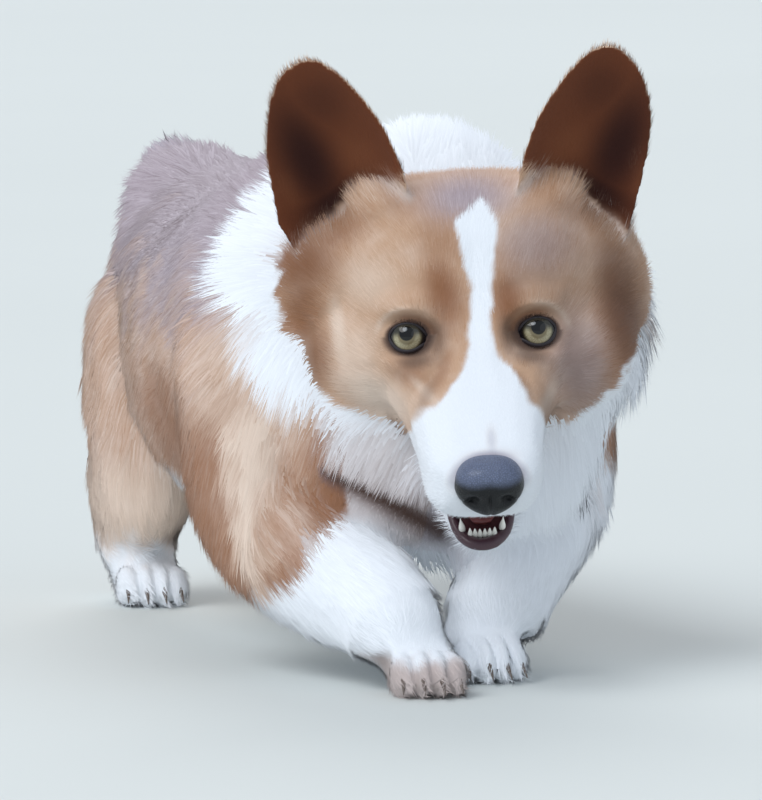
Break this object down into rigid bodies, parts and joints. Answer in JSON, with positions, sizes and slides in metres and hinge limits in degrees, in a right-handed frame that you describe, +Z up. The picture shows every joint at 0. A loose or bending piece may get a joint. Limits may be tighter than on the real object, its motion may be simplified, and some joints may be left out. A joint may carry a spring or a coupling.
{
  "type": "pembroke welsh corgi",
  "caption": "Life-size long-bodied, short-legged corgi in a low running crouch, head turned and lowered to look ahead, ears upright, mouth slightly open.",
  "frame": {"origin": "the floor, under the middle of the dog's bounding box", "axes": "+Z up, -Y the way the dog runs, +X the dog's own left side"},
  "size_m": [0.2126, 0.4904, 0.2878],
  "materials": {
    "white_coat": "long soft white hair of the ruff, muzzle, forearms and feet",
    "fawn_coat": "medium-length fawn and tan hair, matte, in streaky locks",
    "saddle_coat": "fawn hair with grey-brown tips along the back",
    "ear_coat": "very short, dense red-brown hair",
    "nose_leather": "moist, finely pebbled blue-black skin",
    "eye": "wet clear eye with a pale amber-grey iris",
    "tongue": "moist pink-red skin"
  },
  "bodies": {
    "root": {"chest": "fawn_coat", "ear_left": "ear_coat", "ear_right": "ear_coat", "eye_left": "eye", "eye_right": "eye", "fore_lower_left": "white_coat", "fore_lower_right": "white_coat", "fore_paw_left": "white_coat", "fore_paw_right": "white_coat", "fore_upper_left": "fawn_coat", "fore_upper_right": "fawn_coat", "head": "fawn_coat", "hind_lower_left": "fawn_coat", "hind_lower_right": "fawn_coat", "hind_paw_left": "white_coat", "hind_paw_right": "white_coat", "hind_upper_left": "fawn_coat", "hind_upper_right": "fawn_coat", "loin": "saddle_coat", "lower_jaw": "white_coat", "muzzle": "white_coat", "neck": "white_coat", "nose": "nose_leather", "rump": "fawn_coat", "tail": "saddle_coat", "tongue": "tongue"}
  },
  "joints": []
}
